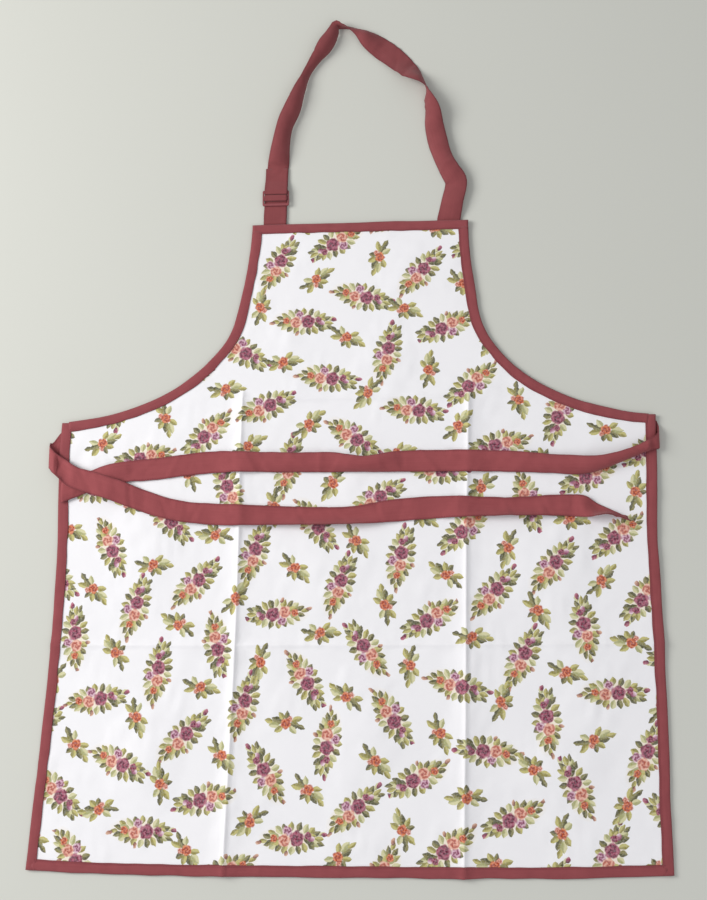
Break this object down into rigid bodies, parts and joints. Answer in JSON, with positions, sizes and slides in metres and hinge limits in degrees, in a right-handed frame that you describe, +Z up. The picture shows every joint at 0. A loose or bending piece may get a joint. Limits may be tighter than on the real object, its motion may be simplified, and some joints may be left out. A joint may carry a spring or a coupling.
{
  "type": "kitchen apron",
  "caption": "Full-length bib apron in printed cotton, bound with contrasting tape, with an adjustable neck strap and two waist ties, lying flat and face up.",
  "frame": {"origin": "middle of the lying apron's footprint, on the surface it lies on", "axes": "+Z up from the surface, +Y from the hem to the neck, +X to the right of someone looking at the printed face"},
  "size_m": [0.7262, 1.0292, 0.022],
  "materials": {
    "printed_cotton": null,
    "binding_tape": "woven cotton tape, burgundy, folded and topstitched",
    "strap_cloth": "woven cotton, burgundy, doubled and stitched at the edges",
    "slider_plastic": "moulded plastic, burgundy, satin"
  },
  "bodies": {
    "root": {"body_panel": "printed_cotton", "top_binding": "binding_tape", "armhole_binding_left": "binding_tape", "armhole_binding_right": "binding_tape", "side_binding_left": "binding_tape", "side_binding_right": "binding_tape", "hem_binding": "binding_tape", "neck_strap": "strap_cloth", "strap_slider": "slider_plastic", "buckle_loop": "strap_cloth", "waist_tie_left": "strap_cloth", "waist_tie_right": "strap_cloth"}
  },
  "joints": []
}
